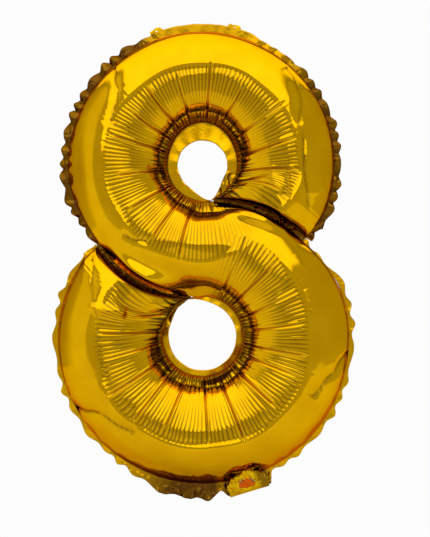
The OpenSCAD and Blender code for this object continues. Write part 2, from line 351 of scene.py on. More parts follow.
def tubePlan(s, v, share=1.0, slim=1.0):  # s runs from hook to hook, v across from the upper rim's edge
    up, low, pitch, upperWidth, lowerWidth = lobes(share)
    upperEnd, lowerEnd = hookEnds(v, share)
    upperMid, lowerMid = (float(end[0]) for end in hookEnds(np.array([0.5]), share))
    k = digit["upperShare"]
    atUpper = upperMid + (270 - upperMid) * np.clip(s / k, 0, 1)
    atLower = 90 + (lowerMid - 90) * np.clip((s - k) / (1 - k), 0, 1)
    nearUpper = 1 - ease(upperMid, upperMid + digit["blend"], atUpper)
    nearLower = ease(-lowerMid - digit["blend"], -lowerMid, -atLower)
    turnUpper = atUpper + (upperEnd - upperMid) * nearUpper
    turnLower = atLower + (lowerEnd - lowerMid) * nearLower
    slimUpper = slim + (1 - slim) * ease(*digit["upperSlim"], turnUpper)
    slimLower = slim + (1 - slim) * ease(*digit["lowerSlim"], turnLower)
    isUpper = s < k
    r = np.where(isUpper, digit["upperHole"] + upperWidth(turnUpper) * (1 - v) * slimUpper,
                 digit["lowerHole"] + lowerWidth(turnLower) * v * slimLower)
    turn = np.where(isUpper, turnUpper, turnLower)
    middle = (upperZ + lowerZ) / 2
    centre = np.where(isUpper, middle + pitch / 2, middle - pitch / 2)
    width = np.where(isUpper, upperWidth(atUpper), lowerWidth(atLower))
    fromEnd = np.where(isUpper, np.radians(atUpper - upperMid) * (digit["upperHole"] + up / 2),
                       np.radians(atLower - lowerMid) * (digit["lowerHole"] + low / 2))
    x, z = r * np.cos(np.radians(turn)), centre + r * np.sin(np.radians(turn))
    return {"x": x, "z": z, "width": width, "fromEnd": fromEnd, "turn": turn, "isUpper": isUpper}


# the filled envelope: the S-shaped tube is sealed flat round its edge, then grown as cloth under pressure

envelope = {
    "along": 1000, "across": 28, "fullness": 0.80, "hookRound": 42 * mm, "slim": 0.93,
    "frames": 14, "grow": 0.16, "growSmooth": 0.06, "growRim": 0.24, "seed": 8,
    "growFrom": (0.5, 0.68), "growEnd": (0, 0.05), "growSeal": (0.93, 1),
    "pleatTurn": 3.4, "pleatDepth": 1.2 * mm, "pleatRise": (0.0, 0.12), "pleatFall": (0.40, 0.62),
    "creaseDepth": 3.0 * mm, "creaseRise": (0.02, 0.2), "creaseFall": 0.15, "endFade": (0, 0.02),
    "puckerPitch": 27 * mm, "puckerDepth": 4 * mm, "puckerRadius": 0.25,
    "calm": 12.0, "wrinkles": 0.06,
}
filmCloth = {  # Blender's own names for the film's weight, stiffness, pressure and growth
    "quality": 5, "mass": 0.001, "air_damping": 1, "tension_stiffness": 200, "compression_stiffness": 50,
    "shear_stiffness": 50, "bending_stiffness": 0.2, "tension_damping": 5, "compression_damping": 5,
    "shear_damping": 5, "bending_damping": 0.5, "use_pressure": True, "uniform_pressure_force": 5.0,
    "vertex_group_pressure": "pressed", "shrink_min": -envelope["growSmooth"], "shrink_max": -envelope["grow"],
    "vertex_group_shrink": "grow", "vertex_group_mass": "sealed", "pin_stiffness": 1,
}


def crossSection(v, rise):  # across share and height of a point a share v along half an ellipse
    turn = np.linspace(0, np.pi, 181)
    levels = np.linspace(0, envelope["fullness"] / 2, 25)
    lengths = []
    for level in levels:
        step = np.hypot(0.5 * np.diff(np.cos(turn)), level * np.diff(np.sin(turn)))
        run = np.concatenate([[0], np.cumsum(step)])
        lengths.append(run / run[-1])
    index = np.clip(np.searchsorted(levels, envelope["fullness"] / 2 * rise), 1, len(levels) - 1)
    at = np.empty_like(v)
    for level in np.unique(index):
        chosen = index == level
        at[chosen] = np.interp(v[chosen], lengths[level], turn)
    return at


def filledTube(s, v):
    first = tubePlan(s, v, slim=envelope["slim"])
    nearEnd = 1 - np.clip(np.abs(first["fromEnd"]) / envelope["hookRound"], 0, 1)
    rise = np.sqrt(np.clip(1 - nearEnd ** 2, 0, 1))
    at = crossSection(v, rise)
    plan = tubePlan(s, 0.5 - 0.5 * np.cos(at), slim=envelope["slim"])
    return plan, envelope["fullness"] / 2 * rise * plan["width"] * np.sin(at), at


rng = np.random.default_rng(envelope["seed"])


def radialCreases():  # long creases that run out from each hole, at uneven steps
    creases = []
    for isUpper, start, stop in ((True, -70.0, 275.0), (False, -250.0, 95.0)):
        at = start
        while at < stop:
            creases.append((isUpper, at, rng.uniform(0.4, 1.0), rng.uniform(0.50, 0.80), rng.uniform(0.6, 1.1)))
            at += rng.uniform(7, 14)
    return creases


creases = radialCreases()


def pleatField(turn, u, fromEnd):  # fine pleats round a hole, u from the hole's seal outwards
    drift = 0.6 * np.sin(turn * 0.23 + 1.0) + 0.5 * np.sin(turn * 0.11 + 2.2)
    wave = np.abs(np.sin(turn / envelope["pleatTurn"] * np.pi + drift)) - 0.6
    strength = ease(*envelope["pleatRise"], u) * (1 - ease(*envelope["pleatFall"], u))
    return wave * (strength * ease(*envelope["endFade"], fromEnd))


def creaseField(turn, isUpper, u, fromEnd):
    total = np.zeros_like(u)
    for upper, at, depth, reach, width in creases:
        span = ease(*envelope["creaseRise"], u) * (1 - ease(reach - envelope["creaseFall"], reach, u))
        shape = np.exp(-((turn - at) / width) ** 2) * span
        total -= np.where(isUpper == upper, depth * shape, 0)
    return total * ease(*envelope["endFade"], fromEnd)


rowShare = np.linspace(0, 1, envelope["across"] + 1)
rowShare = 0.75 * rowShare + 0.25 * (0.5 - 0.5 * np.cos(np.pi * rowShare))  # closer rows near the seals


def makeTube():
    bm = bmesh.new()
    place = bm.verts.layers.float_vector.new("place")  # step along, row across, 0 front 1 back 2 3 rim seal
    bmesh.ops.create_grid(bm, x_segments=envelope["along"], y_segments=envelope["across"], size=0.5)
    grid = np.array([vert.co for vert in bm.verts])
    step, row = (np.rint((grid[:, k] + 0.5) * envelope[name]) for k, name in ((0, "along"), (1, "across")))
    s, v = step / envelope["along"], rowShare[row.astype(int)]
    plan, height, at = filledTube(s, v)
    u = np.where(plan["isUpper"], 1 - v, v)
    fromEnd = np.abs(plan["fromEnd"])
    height = height + np.sin(at) ** 0.3 * (
        envelope["pleatDepth"] * pleatField(plan["turn"], u, fromEnd)
        + envelope["creaseDepth"] * creaseField(plan["turn"], plan["isUpper"], u, fromEnd))
    for index, vert in enumerate(bm.verts):
        vert.co = (plan["x"][index], -height[index], plan["z"][index])
        vert[place] = (step[index], row[index], 0)
    front = bm.faces[:]
    copied = bmesh.ops.duplicate(bm, geom=bm.verts[:] + bm.edges[:] + front)["geom"]
    back = [item for item in copied if isinstance(item, bmesh.types.BMFace)]
    for item in copied:
        if isinstance(item, bmesh.types.BMVert):
            item.co.y = -item.co.y
            item[place].z = 1
    bmesh.ops.reverse_faces(bm, faces=back)
    bmesh.ops.remove_doubles(bm, verts=[vert for vert in bm.verts if vert.is_boundary], dist=2e-6)
    bm.normal_update()
    if sum(face.normal.y for face in front) > 0:
        bmesh.ops.reverse_faces(bm, faces=bm.faces)
    return bm


tube = makeTube()
print("tube sealed:", len(tube.verts), "points")


def sortedChains(bm, place):  # the tube's four edges: A and B run hook to hook, the others across a hook's end
    last = (envelope["along"], envelope["across"])
    chains = {"A": [], "B": [], "upperHook": [], "lowerHook": []}
    for vert in bm.verts:
        i, j = round(vert[place][0]), round(vert[place][1])
        if j == 0:
            chains["A"].append((i, vert))
        if j == last[1]:
            chains["B"].append((i, vert))
        if i == 0:
            chains["upperHook"].append((j, vert))
        if i == last[0]:
            chains["lowerHook"].append((j, vert))
    ordered = {}
    for name, found in chains.items():
        ordered[name] = [vert for _, vert in sorted(found, key=lambda pair: pair[0])]
    return ordered


def nearestStep(chain, point, start, stop):
    return min(range(start, stop), key=lambda k: (chain[k].co - point).length)


def edgesAlong(chain):
    pairs = []
    for first, second in zip(chain, chain[1:]):
        pairs.append(next(edge for edge in first.link_edges if edge.other_vert(first) == second))
    return pairs


def addRimSeal(bm, place, chain, lobeZ):  # two rows of seal, waved as a gathered edge waves
    edges = edgesAlong(chain)
    for row in (1, 2):
        made = bmesh.ops.extrude_edge_only(bm, edges=edges)["geom"]
        edges = [item for item in made if isinstance(item, bmesh.types.BMEdge)]
        for vert in (item for item in made if isinstance(item, bmesh.types.BMVert)):
            outward = Vector((vert.co.x, 0, vert.co.z - lobeZ)).normalized()
            around = math.atan2(outward.z, outward.x) * envelope["puckerRadius"] / envelope["puckerPitch"]
            vert.co += outward * digit["rimSeal"] / 2
            vert.co.y += envelope["puckerDepth"] / 2 * math.sin(math.pi * around + 0.8 * math.sin(9 * around))
            vert[place].z = row + 1


def pressFilm(mesh, grow, pressed, sealed):  # cloth under pressure, from the mesh as sealed to the filled one
    tubeObject = bpy.data.objects.new("grownTube", mesh)
    scene.collection.objects.link(tubeObject)
    growGroup = tubeObject.vertex_groups.new(name="grow")
    for index, weight in enumerate(grow):
        growGroup.add([index], float(weight), "REPLACE")
    tubeObject.vertex_groups.new(name="pressed").add(pressed, 1.0, "REPLACE")
    tubeObject.vertex_groups.new(name="sealed").add(sealed, 1.0, "REPLACE")
    cloth = tubeObject.modifiers.new("film", "CLOTH")
    for name, value in filmCloth.items():
        setattr(cloth.settings, name, value)
    cloth.settings.effector_weights.gravity = 0
    cloth.collision_settings.use_collision = False
    cloth.collision_settings.use_self_collision = False
    cloth.point_cache.frame_end = envelope["frames"] + 2
    for frameNumber in range(1, envelope["frames"] + 1):
        scene.frame_set(frameNumber)
    grown = bpy.data.meshes.new_from_object(tubeObject.evaluated_get(bpy.context.evaluated_depsgraph_get()))
    bpy.data.objects.remove(tubeObject)
    bpy.data.meshes.remove(mesh)
    scene.frame_set(1)
    return grown


def growTube(bm):  # the film is pressed from inside while it grows to the size it was cut to
    place = bm.verts.layers.float_vector["place"]
    a, b, upperHook, lowerHook = sortedChains(bm, place).values()
    last, middle = envelope["along"], int(envelope["along"] * digit["upperShare"])
    steps = {
        "upperRimEnd": nearestStep(a, lowerHook[-1].co, 0, middle),
        "lowerHoleStart": nearestStep(a, lowerHook[0].co, middle // 2, last * 6 // 10),
        "upperHoleEnd": nearestStep(b, upperHook[-1].co, middle // 2, last * 6 // 10),
        "lowerRimStart": nearestStep(b, upperHook[0].co, middle, last + 1),
    }
    besideUpper = b[steps["upperHoleEnd"]:steps["lowerRimStart"] + 1]
    besideLower = a[steps["upperRimEnd"]:steps["lowerHoleStart"] + 1]
    bmesh.ops.bridge_loops(bm, edges=edgesAlong(upperHook) + edgesAlong(besideUpper))
    bmesh.ops.bridge_loops(bm, edges=edgesAlong(lowerHook) + edgesAlong(besideLower))
    addRimSeal(bm, place, a[:steps["upperRimEnd"] + 1], upperZ)
    addRimSeal(bm, place, b[steps["lowerRimStart"]:], lowerZ)
    bm.verts.index_update()
    held = (b[:steps["upperHoleEnd"] + 1], a[steps["lowerHoleStart"]:], upperHook, lowerHook, besideUpper, besideLower)
    sealed = {vert.index for chain in held for vert in chain}
    places = np.array([vert[place] for vert in bm.verts])
    mesh = bpy.data.meshes.new("grownTube")
    bm.to_mesh(mesh)
    v = rowShare[np.rint(places[:, 1]).astype(int)]
    plan = tubePlan(places[:, 0] / last, v)
    u = np.where(plan["isUpper"], 1 - v, v)
    grow = (1 - ease(*envelope["growFrom"], u)) * ease(*envelope["growEnd"], np.abs(plan["fromEnd"]))
    grow += envelope["growRim"] / envelope["grow"] * ease(*envelope["growSeal"], u)
    onSeal = places[:, 2] > 1.5
    grow = np.clip(np.where(onSeal, 1.0, grow), 0, 1)
    mesh = pressFilm(mesh, grow, np.nonzero(~onSeal)[0].tolist(), list(sealed))
    flat = np.zeros(len(mesh.vertices) * 3)
    mesh.vertices.foreach_get("co", flat)
    bpy.data.meshes.remove(mesh)
    return flat.reshape(-1, 3), places, steps


grownPoints, places, seamSteps = growTube(tube)
tube.free()
print("tube grown")


def pointGrid(side):  # simulated points of one panel by step along and row across
    grid = np.zeros((envelope["along"] + 1, envelope["across"] + 1, 3))
    i, j, kind = np.rint(places).astype(int).T
    onEdge = (i == 0) | (i == envelope["along"]) | (j == 0) | (j == envelope["across"])
    chosen = (kind == side) | (onEdge & (kind < 2))
    grid[i[chosen], j[chosen]] = grownPoints[chosen]
    return grid


def rimGrid(start, stop, edge):  # the tube's edge and its two rows of seal
    grid = np.zeros((stop - start + 1, 3, 3))
    i, j, kind = np.rint(places).astype(int).T
    onEdge = (j == edge) & (i >= start) & (i <= stop)
    for row, chosen in enumerate((onEdge & (kind < 2), onEdge & (kind == 2), onEdge & (kind == 3))):
        grid[i[chosen] - start, row] = grownPoints[chosen]
    return grid


def lookup(grid, rowAt, columnAt):  # smooth curve through the grid's points, both ways
    def spread(at, count):
        first = np.clip(np.floor(at).astype(int), 0, count - 2)
        t = at - first
        weights = ((-t + 2 * t ** 2 - t ** 3) / 2, (2 - 5 * t ** 2 + 3 * t ** 3) / 2,
                   (t + 4 * t ** 2 - 3 * t ** 3) / 2, (-t ** 2 + t ** 3) / 2)
        return [(np.clip(first + k - 1, 0, count - 1), weight) for k, weight in enumerate(weights)]
    total = np.zeros((len(rowAt), 3))
    for i, rowWeight in spread(rowAt, grid.shape[0]):
        for j, columnWeight in spread(columnAt, grid.shape[1]):
            total += grid[i, j] * (rowWeight * columnWeight)[:, None]
    return total


def calmed(side):  # keeps the swelling and a share of the wrinkles, which the film's own pleats then cover
    grid = pointGrid(side)
    count, rows = grid.shape[:2]
    plan, height, at = filledTube(np.repeat(np.arange(count) / envelope["along"], rows), np.tile(rowShare, count))
    start = np.stack([plan["x"], height * (2 * side - 1), plan["z"]], 1).reshape(grid.shape)
    moved = (grid - start).reshape(count, -1)
    step = np.arange(count)[:, None]
    near = 0  # the hook ends are sealed down, so what moves beyond them mirrors what moves before them
    for sign, away in ((1, step - step.T), (-1, step + step.T), (-1, 2 * count - 2 - step - step.T)):
        near = near + sign * np.exp(-0.5 * (away / envelope["calm"]) ** 2)
    even = near / (envelope["calm"] * math.sqrt(2 * math.pi)) @ moved
    return start + (even + envelope["wrinkles"] * (moved - even)).reshape(grid.shape)


groove = {"round": 9 * mm, "hookFull": 30, "hookReach": 60, "rowFull": 6, "rowReach": 10, "fade": 34}


def shoulder(grid, seam, top):  # height of film that swells steeply from a seam and then runs flat
    gap = np.hypot(grid[..., 0] - seam[..., 0], grid[..., 2] - seam[..., 2])
    return top * np.sqrt(1 - (1 - np.clip(gap / groove["round"], 0, 1)) ** 2)


def swollen(grid):  # beside a dividing seam both films press together, so only a narrow groove stays open
    full = grid.copy()
    last, across = envelope["along"], envelope["across"]
    for end, inward in ((0, 1), (last, -1)):  # the two hook ends
        steps = end + inward * np.arange(groove["hookReach"] + 1)
        top = np.abs(grid[end + inward * groove["hookReach"], :, 1])[None]
        raised = shoulder(grid[steps], grid[end][None], top)
        share = 1 - ease(groove["hookFull"], groove["hookReach"], np.abs(steps - end))[:, None]
        extra = np.maximum(raised - np.abs(grid[steps, :, 1]), 0) * share
        full[steps, :, 1] += np.sign(grid[steps, :, 1]) * extra
    for start, stop, edge, inward in ((seamSteps["upperHoleEnd"], seamSteps["lowerRimStart"], across, -1),
                                      (seamSteps["upperRimEnd"], seamSteps["lowerHoleStart"], 0, 1)):
        rows = edge + inward * np.arange(groove["rowReach"] + 1)
        span = np.arange(start, stop + 1)
        part = grid[span][:, rows]
        raised = shoulder(part, grid[span, edge][:, None], np.abs(part[:, -1:, 1]))
        share = 1 - ease(groove["rowFull"], groove["rowReach"], np.abs(rows - edge))[None]
        ends = ease(0, groove["fade"], span - start) * ease(0, groove["fade"], stop - span)
        extra = np.maximum(raised - np.abs(part[..., 1]), 0) * share * ends[:, None]
        full[span[:, None], rows[None], 1] += np.sign(part[..., 1]) * extra
    return full


panels = {"front": swollen(calmed(0)), "back": swollen(calmed(1))}
for name, grid in panels.items():
    print(name, "film", grid.reshape(-1, 3).min(0).round(4), grid.reshape(-1, 3).max(0).round(4))


# pieces made from a grid laid over a surface


def gridPiece(name, node, size, surface, material, body, facing, thickness=0, trim=None):
    along, across = size
    bm = bmesh.new()
    uvLayer = bm.loops.layers.uv.new("UVMap")
    # every point stores the amount of painted shade its colour gets
    foldLayer = bm.verts.layers.float.new("fold")
    bmesh.ops.create_grid(bm, x_segments=along, y_segments=across, size=0.5)
    at = np.array([vert.co for vert in bm.verts])[:, :2] + 0.5  # share along and share across
    at = np.rint(at * size) / size
    points, fold = surface(at[:, 0], at[:, 1])
    bm.verts.index_update()
    for face in bm.faces:
        face.smooth = True
        for loop in face.loops:
            loop[uvLayer].uv = at[loop.vert.index]
    # depth here is the amount of painted shade, not a height
    for vert, point, depth in zip(bm.verts, points, fold):
        vert.co = point
        vert[foldLayer] = depth
    if trim:
        trim(bm)
    bm.normal_update()
    if sum(face.normal.dot(Vector(facing)) for face in bm.faces) < 0:
        bmesh.ops.reverse_faces(bm, faces=bm.faces)
    mesh = bpy.data.meshes.new(name)
    bm.to_mesh(mesh)
    bm.free()
    mesh.materials.append(material)
    piece = bpy.data.objects.new(name, mesh)
    scene.collection.objects.link(piece)
    if thickness:
        ply = piece.modifiers.new("ply", "SOLIDIFY")
        ply.thickness = thickness
        ply.offset = 0
    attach(piece, body)
    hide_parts(node)
    return piece


def pushed(points, s, v, along, across, amount):  # moves each point of a grid along the surface's normal
    i, j = np.rint(s * along).astype(int), np.rint(v * across).astype(int)
    grid = np.zeros((along + 1, across + 1, 3))
    grid[i, j] = points
    normal = np.cross(np.gradient(grid, axis=0), np.gradient(grid, axis=1))
    normal /= np.maximum(np.linalg.norm(normal, axis=2, keepdims=True), 1e-12)
    return points + normal[i, j] * amount[:, None]


def crumple(points, size, seed, sharp=1.0):  # ridged noise, -1 to 1
    shift = Vector((seed * 7.31, seed * 3.17, seed * 1.93))
    values = np.array([noise.noise(Vector(point) / size + shift) for point in points])
    return 1 - 2 * np.abs(values * 1.6) ** sharp


# front and back foil

foil = {
    "along": 1400, "across": 70,
    "pitchOut": 2.5, "depthOut": 0.56 * mm, "pitchIn": 4.4, "depthIn": 1.5 * mm,  # pitches in degrees
    "pleatStart": 0.20, "pleatFull": 0.42, "pleatStop": 0.585,  # shares of the tube's width, out from the hole
    "innerRise": (0.0, 0.03), "innerFall": (0.08, 0.22), "shoulderFall": (0.66, 0.84),
    "creaseDepth": 2.9 * mm, "creaseWidth": 1.45 * mm, "creaseRise": (0.01, 0.10), "shoulder": 2.6 * mm,
    "upperCreases": (-24, -4, 15, 37, 62, 85, 107, 127, 145, 163, 190, 214, 238, 257, 272),
    "lowerCreases": (-267, -248, -225, -207, -182, -167, -148, -130, -112, -87, -67, -43, -22, -9, 9, 27, 48, 67),
    "upperPart": (0.012, 0.06), "lowerPart": (0.002, 0.05),  # where each lobe's pleats stop, past the crossing
    # painted shade: a ring round the hole, the creases, between the fine pleats, the hook valleys, along the outer seal
    # and above the foot
    "ringShade": 1.0, "creaseShade": 0.85, "fineShade": 0.80, "valleyShade": 0.9, "valleyReach": (0.002, 0.008),
    "toothFrom": 0.12, "toothLength": 0.12, "edgeShade": 0.45, "footFrom": (-136, -118), "footTo": (-76, -62),
    "endFade": (0.004, 0.03), "sealFade": (0, 0.02),
}


def waver(turn, rates, phases):
    return sum(np.sin(np.radians(turn * rate) + phase) for rate, phase in zip(rates, phases)) / len(rates)


def lobeShares(x, z, s):  # turn round each hole, share of the width out from it, radius, pleats' weight and creases
    k = digit["upperShare"]
    (upperStart, upperStop), (lowerStart, lowerStop) = foil["upperPart"], foil["lowerPart"]
    upperTurn = np.degrees(np.arctan2(z - upperZ, x))
    lowerTurn = np.degrees(np.arctan2(z - lowerZ, x))
    upperTurn = np.where(upperTurn < -90, upperTurn + 360, upperTurn)
    lowerTurn = np.where(lowerTurn > 90, lowerTurn - 360, lowerTurn)
    upperOut = np.hypot(x, z - upperZ) - digit["upperHole"]
    lowerOut = np.hypot(x, z - lowerZ) - digit["lowerHole"]
    return ((upperTurn, upperOut / digit["upperTube"], upperOut + digit["upperHole"],
             1 - ease(k + upperStart, k + upperStop, s), foil["upperCreases"]),
            (lowerTurn, lowerOut / digit["lowerTube"], lowerOut + digit["lowerHole"],
             ease(k + lowerStart, k + lowerStop, s), foil["lowerCreases"]))


def filmDetail(s, v, seed):  # height of pleats and creases on the calm film, and how much painted shade each point gets
    plan = tubePlan(s, v)
    fromEnd = np.abs(plan["fromEnd"])
    draw = np.random.default_rng(seed)
    height, fold = np.zeros_like(s), np.zeros_like(s)
    for turn, u, radius, part, creaseTurns in lobeShares(plan["x"], plan["z"], s):
        drift = waver(turn, (7, 17, 29), draw.uniform(0, 6, 3))
        strength = 0.75 + 0.25 * waver(turn, (5, 13), draw.uniform(0, 6, 2))
        edgeAt = foil["pleatStop"] + 0.012 * waver(turn, (4, 9), draw.uniform(0, 6, 2))
        outer = ease(foil["pleatStart"], foil["pleatFull"], u) * (1 - ease(edgeAt - 0.04, edgeAt, u))
        fine = np.abs(np.sin(np.pi * turn / foil["pitchOut"] + drift))
        inner = ease(*foil["innerRise"], u) * (1 - ease(*foil["innerFall"], u))
        coarse = np.abs(np.sin(np.pi * turn / foil["pitchIn"] + 1.6 * drift))
        swell = ease(edgeAt - 0.035, edgeAt + 0.01, u) * (1 - ease(*foil["shoulderFall"], u))
        lobe = foil["depthOut"] * outer * (fine - 0.6) * strength + foil["depthIn"] * inner * (coarse - 0.6)
        lobe += foil["shoulder"] * swell
        teeth = foil["toothFrom"] + foil["toothLength"] * (1 - coarse)  # the painted shade ring round the hole ends in uneven teeth
        teeth = teeth + 0.02 * np.sin(np.radians(turn * 31))
        # painted shade: the dark ring round the hole, between the fine pleats and along the creases
        shade = foil["ringShade"] * (1 - ease(teeth - 0.03, teeth + 0.02, u)) * (0.74 + 0.26 * (1 - coarse))
        shade = np.maximum(shade, foil["fineShade"] * outer * (1 - fine) ** 1.4)
        for at in creaseTurns:
            lean, reach = draw.uniform(-3, 3), edgeAt - draw.uniform(-0.03, 0.09)
            width = foil["creaseWidth"] * draw.uniform(0.7, 1.25)
            depth = foil["creaseDepth"] * draw.uniform(0.55, 1.0)
            off = np.radians(turn - at - lean * (u - 0.3)) * radius
            span = ease(*foil["creaseRise"], u) * (1 - ease(reach - 0.06, reach, u))
            dip = np.exp(-np.abs(off / width) ** 1.5)
            bank = np.exp(-((np.abs(off) - 2.6 * width) / (1.3 * width)) ** 2)
            lobe -= depth * span * (dip - 0.35 * bank)
            shade = np.maximum(shade, foil["creaseShade"] * span * dip ** 2 * depth / foil["creaseDepth"])
        height += part * lobe
        fold = np.maximum(fold, part * shade)
    # painted shade where the films meet at the hook ends
    fold = np.maximum(fold, foil["valleyShade"] * (1 - ease(*foil["valleyReach"], fromEnd)))
    edgeShare = np.where(plan["isUpper"], v, 1 - v)  # share of the width in from the outer seal
    # painted shade along the outer seal, wider and darker above the foot
    foot = ease(*foil["footFrom"], plan["turn"]) * (1 - ease(*foil["footTo"], plan["turn"])) * ~plan["isUpper"]
    edgeShade = foil["edgeShade"] * (1 + foot)
    fold = np.maximum(fold, edgeShade * (1 - ease(0.008 + 0.05 * foot, 0.03 + 0.06 * foot, edgeShare)))
    sealed = ease(*foil["sealFade"], v) * ease(*foil["sealFade"], 1 - v)
    return height * ease(*foil["endFade"], fromEnd) * sealed, fold


kinks = {  # long folds of the filled film: from, to, depth (negative for a ridge) and width, seen from the front
    "front": ((-197, 21, -183, -112, 2.2, 3.0), (-183, -112, -172, -214, 2.0, 3.0), (-240, -262, -178, -270, 6.0, 3.0),
              (-178, -270, -118, -302, 5.0, 3.0), (262, -160, 232, -196, 4.6, 3.0), (232, -196, 194, -236, 5.4, 3.0),
              (-140, 46, -96, 32, 3.4, 2.8), (146, 150, 146, 112, 4.0, 3.0), (120, 176, 146, 60, -3.0, 4.0),
              (152, 214, 158, 60, -3.2, 4.0), (174, 226, 186, 90, 2.6, 3.4), (186, 116, 218, 132, -2.6, 3.6),
              (-160, 348, -148, 300, 2.4, 3.0), (-148, 300, -160, 240, 2.0, 3.2), (152, 346, 172, 300, 2.4, 3.0),
              (172, 300, 172, 240, 2.0, 3.2), (-212, 30, -206, -40, -2.6, 3.6), (-196, -80, -136, -90, -8.0, 8.0)),
    "back": ((-190, 10, -176, -160, 2.2, 3.0), (236, -150, 190, -250, 3.0, 3.0), (150, 210, 158, 90, -3.0, 4.0),
             (-216, 150, -178, 96, 2.6, 3.0), (-60, -352, 10, -338, 2.6, 3.0), (120, 330, 168, 262, 2.2, 3.0)),
}


def kinkDetail(points, side):
    height, fold = np.zeros(len(points)), np.zeros(len(points))
    for x0, z0, x1, z1, depth, width in kinks[side]:
        start, run = np.array([x0, z0]) * mm, np.array([x1 - x0, z1 - z0]) * mm
        along = ((points[:, [0, 2]] - start) @ run) / (run @ run)
        off = (points[:, [0, 2]] - start) @ np.array([-run[1], run[0]]) / np.hypot(*run)
        off = off + 1.5 * mm * np.sin(along * 7 + x0)
        span = ease(-0.12, 0.12, along) * (1 - ease(0.88, 1.12, along))
        crease = np.exp(-(np.abs(off) / (width * mm)) ** 1.4) * span
        facets = np.clip(1 - np.abs(off) / (6 * width * mm), 0, 1) ** 1.3 * span  # flat sides that meet in the crease
        height -= depth * mm * (0.35 * crease + 0.65 * facets)
        # painted shade along each kink's crease
        fold = np.maximum(fold, np.clip(depth / 4.5, 0, 0.8) * crease ** 2)
    return height, fold


def filmSurface(side, seed):
    def surface(s, v):
        rowAt = np.interp(v, rowShare, np.arange(envelope["across"] + 1))
        points = lookup(panels[side], s * envelope["along"], rowAt)
        out, fold = filmDetail(s, v, seed)
        kinked, kinkPaintedShade = kinkDetail(points, side)
        out, fold = out + kinked, np.maximum(fold, kinkPaintedShade)
        raised = pushed(points, s, v, foil["along"], foil["across"], out)
        facing = -1 if side == "front" else 1
        if np.mean((raised - points)[:, 1] * out) * facing < 0:
            raised = pushed(points, s, v, foil["along"], foil["across"], -out)
        return holeLift(raised), fold
    return surface


lift = {"up": 14 * mm, "in": 4 * mm, "reach": 62 * mm}  # the upper hole's top edge is drawn up as the tube fills


def holeLift(points):
    away = points - np.array([0, 0, upperZ])
    radius = np.hypot(away[:, 0], away[:, 2])
    top = np.clip(away[:, 2] / np.maximum(radius, 1e-6), 0, 1) ** 1.5
    inside = 1 - ease(digit["upperHole"] - lift["in"], digit["upperHole"] + lift["reach"], radius)
    raised = points.copy()
    raised[:, 2] += lift["up"] * top * inside * ease(-0.02, 0.01, away[:, 2]) * ease(0, 50 * mm, radius)
    return raised


foilSize = (foil["along"], foil["across"])
frontFoil = gridPiece("frontFoil", "front_panel", foilSize, filmSurface("front", 3), goldFoil, "envelope", toFront)
backFoil = gridPiece("backFoil", "back_panel", foilSize, filmSurface("back", 5), goldFoil, "envelope", toBack)
print("front and back foil ready")


# outer seal

rim = {  # turns are in degrees round the lobe's hole
    "columns": 1800, "rows": 8, "thickness": 0.5 * mm, "overlap": 1.5 * mm,
    "width": 10 * mm, "topWidth": 15 * mm, "gatheredWidth": 14 * mm, "cutWidth": 12.0 * mm,
    "wave": 2.6 * mm, "pitch": 27 * mm, "lowerPitch": 42 * mm, "backward": 6 * mm,
    "topFrom": (62, 74), "topTo": (104, 116), "leftGather": (106, 124), "rightGather": (34, 62), "rightShare": 0.75,
    "lowerGather": (-235, -222), "lowerShare": 0.45,
    "footWidth": 31 * mm, "footFrom": (-128, -93), "footTo": (-88, -79),
    "neckTurn": -73.0, "neckRadius": 264 * mm, "neckWidth": 84 * mm, "neckLength": 16 * mm, "neckEnd": 289.0 * mm,
    "neckFade": (-1.15, -0.8), "neckReach": 0.62, "darkest": 0.97,
}


